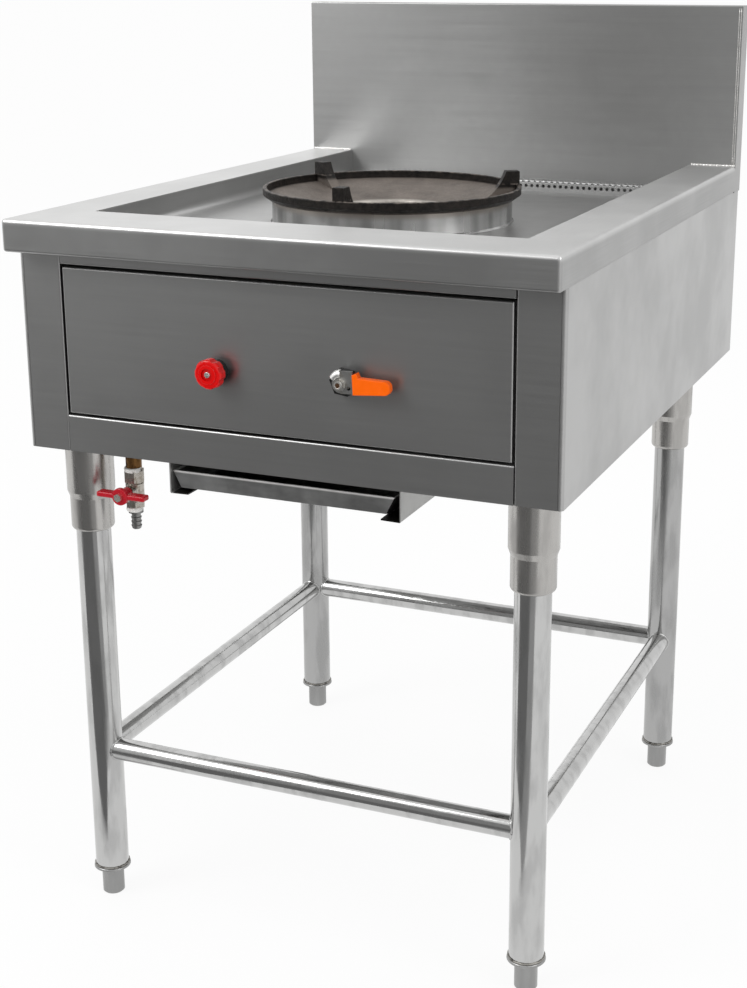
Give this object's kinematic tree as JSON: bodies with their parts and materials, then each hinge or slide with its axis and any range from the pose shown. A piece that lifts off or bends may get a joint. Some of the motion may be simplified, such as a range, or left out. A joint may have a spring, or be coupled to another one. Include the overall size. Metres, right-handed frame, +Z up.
{
  "type": "wok range",
  "caption": "Stainless wok range on a tubular stand, with a cast-iron wok ring in a sunken deck, splashback, gutter, gas taps and drip tray.",
  "frame": {"origin": "on the floor, in the middle of the overall footprint", "axes": "+X to the right of a person facing the front, +Y from the front to the splashback, +Z up"},
  "size_m": [0.6, 0.8, 1],
  "materials": {
    "rim_steel": "satin stainless, lightly scratched",
    "deck_steel": "satin stainless",
    "splash_steel": "stainless brushed along its length",
    "front_steel": "satin stainless with faint patches",
    "side_steel": "satin stainless",
    "inner_steel": "plain mill finish",
    "leg_steel": "polished stainless tube with lengthwise streaks",
    "socket_steel": "turned satin stainless",
    "foot_steel": "dull turned steel",
    "strainer_steel": "satin perforated stainless",
    "collar_steel": "heat-tinted stainless",
    "ring_iron": "rough cast, worn grey-brown inside",
    "burner_iron": "rough sooty casting",
    "knob_red": "glossy moulded red",
    "collar_black": "black",
    "lever_zinc": "dull zinc plate",
    "sleeve_orange": "soft-gloss dipped orange",
    "pipe_steel": "dull galvanised pipe",
    "valve_nickel": "worn nickel plate",
    "old_brass": "tarnished",
    "bright_brass": "plain machined",
    "handle_red": "dark red enamel",
    "barb_grey": "dull grey",
    "tray_steel": "plain stainless",
    "rail_steel": "grimy steel, near black inside",
    "screw_steel": "plain"
  },
  "bodies": {
    "range_frame": {"hob_rim": "rim_steel", "hob_deck": "deck_steel", "gutter_trough": "inner_steel", "backsplash": "splash_steel", "burner_collar": "collar_steel", "front_post_left": "front_steel", "front_post_right": "front_steel", "front_rail_lower": "front_steel", "front_rail_upper": "front_steel", "control_panel": "front_steel", "side_panel_left": "side_steel", "side_panel_right": "side_steel", "rear_panel": "side_steel", "rear_screws": "screw_steel", "base_panel": "inner_steel", "tray_rail_left": "rail_steel", "tray_rail_right": "rail_steel", "foot_ferrules": "foot_steel", "combustion_chamber": "inner_steel", "burner": "burner_iron", "burner_bracket": "inner_steel", "gas_injector": "bright_brass", "gas_inlet_pipe": "pipe_steel", "burner_feed_pipe": "pipe_steel", "gas_valve_body": "valve_nickel", "pilot_valve_body": "bright_brass", "pilot_collar": "collar_black", "pilot_tubes": "bright_brass", "drain_pipe": "old_brass", "drain_valve_body": "valve_nickel", "drain_hose_barb": "barb_grey", "leg_socket_front_left": "socket_steel", "leg_tube_front_left": "leg_steel", "leg_socket_front_right": "socket_steel", "leg_tube_front_right": "leg_steel", "leg_socket_rear_left": "socket_steel", "leg_tube_rear_left": "leg_steel", "leg_socket_rear_right": "socket_steel", "leg_tube_rear_right": "leg_steel", "stretcher_front": "leg_steel", "stretcher_rear": "leg_steel", "stretcher_left": "leg_steel", "stretcher_right": "leg_steel"},
    "drip_tray_body": {"drip_tray": "tray_steel"},
    "wok_ring_body": {"wok_ring": "ring_iron"},
    "strainer_body": {"gutter_strainer": "strainer_steel"},
    "gas_lever_body": {"gas_lever": "lever_zinc", "gas_lever_sleeve": "sleeve_orange", "gas_lever_nut": "lever_zinc", "gas_valve_ball": "valve_nickel"},
    "pilot_knob_body": {"pilot_knob": "knob_red", "pilot_knob_screw": "screw_steel", "pilot_needle": "bright_brass"},
    "drain_handle_body": {"drain_handle": "handle_red", "drain_handle_nut": "lever_zinc", "drain_valve_ball": "valve_nickel"},
    "foot_front_left": {"levelling_foot_front_left": "foot_steel"},
    "foot_front_right": {"levelling_foot_front_right": "foot_steel"},
    "foot_rear_left": {"levelling_foot_rear_left": "foot_steel"},
    "foot_rear_right": {"levelling_foot_rear_right": "foot_steel"}
  },
  "joints": [
    {"name": "drip_tray_slide", "type": "slide", "parent": "range_frame", "child": "drip_tray_body", "axis": [0, -1, 0], "range_m": [0, 0.4]},
    {"name": "wok_ring_lift", "type": "slide", "parent": "range_frame", "child": "wok_ring_body", "axis": [0, 0, 1], "range_m": [0, 0.15]},
    {"name": "strainer_lift", "type": "slide", "parent": "range_frame", "child": "strainer_body", "axis": [0, 0, 1], "range_m": [0, 0.1]},
    {"name": "gas_lever_turn", "type": "hinge", "parent": "range_frame", "child": "gas_lever_body", "pos_m": [0.075, -0.344, 0.6586], "axis": [0, -1, 0], "range_deg": [0, 90]},
    {"name": "pilot_knob_turn", "type": "hinge", "parent": "range_frame", "child": "pilot_knob_body", "pos_m": [-0.0682, -0.344, 0.656], "axis": [0, -1, 0], "range_deg": [0, 270]},
    {"name": "drain_handle_turn", "type": "hinge", "parent": "range_frame", "child": "drain_handle_body", "pos_m": [-0.1945, -0.338, 0.5051], "axis": [0, -1, 0], "range_deg": [0, 90]},
    {"name": "foot_screw_front_left", "type": "slide", "parent": "range_frame", "child": "foot_front_left", "axis": [0, 0, -1], "range_m": [0, 0.02]},
    {"name": "foot_screw_front_right", "type": "slide", "parent": "range_frame", "child": "foot_front_right", "axis": [0, 0, -1], "range_m": [0, 0.02]},
    {"name": "foot_screw_rear_left", "type": "slide", "parent": "range_frame", "child": "foot_rear_left", "axis": [0, 0, -1], "range_m": [0, 0.02]},
    {"name": "foot_screw_rear_right", "type": "slide", "parent": "range_frame", "child": "foot_rear_right", "axis": [0, 0, -1], "range_m": [0, 0.02]}
  ]
}
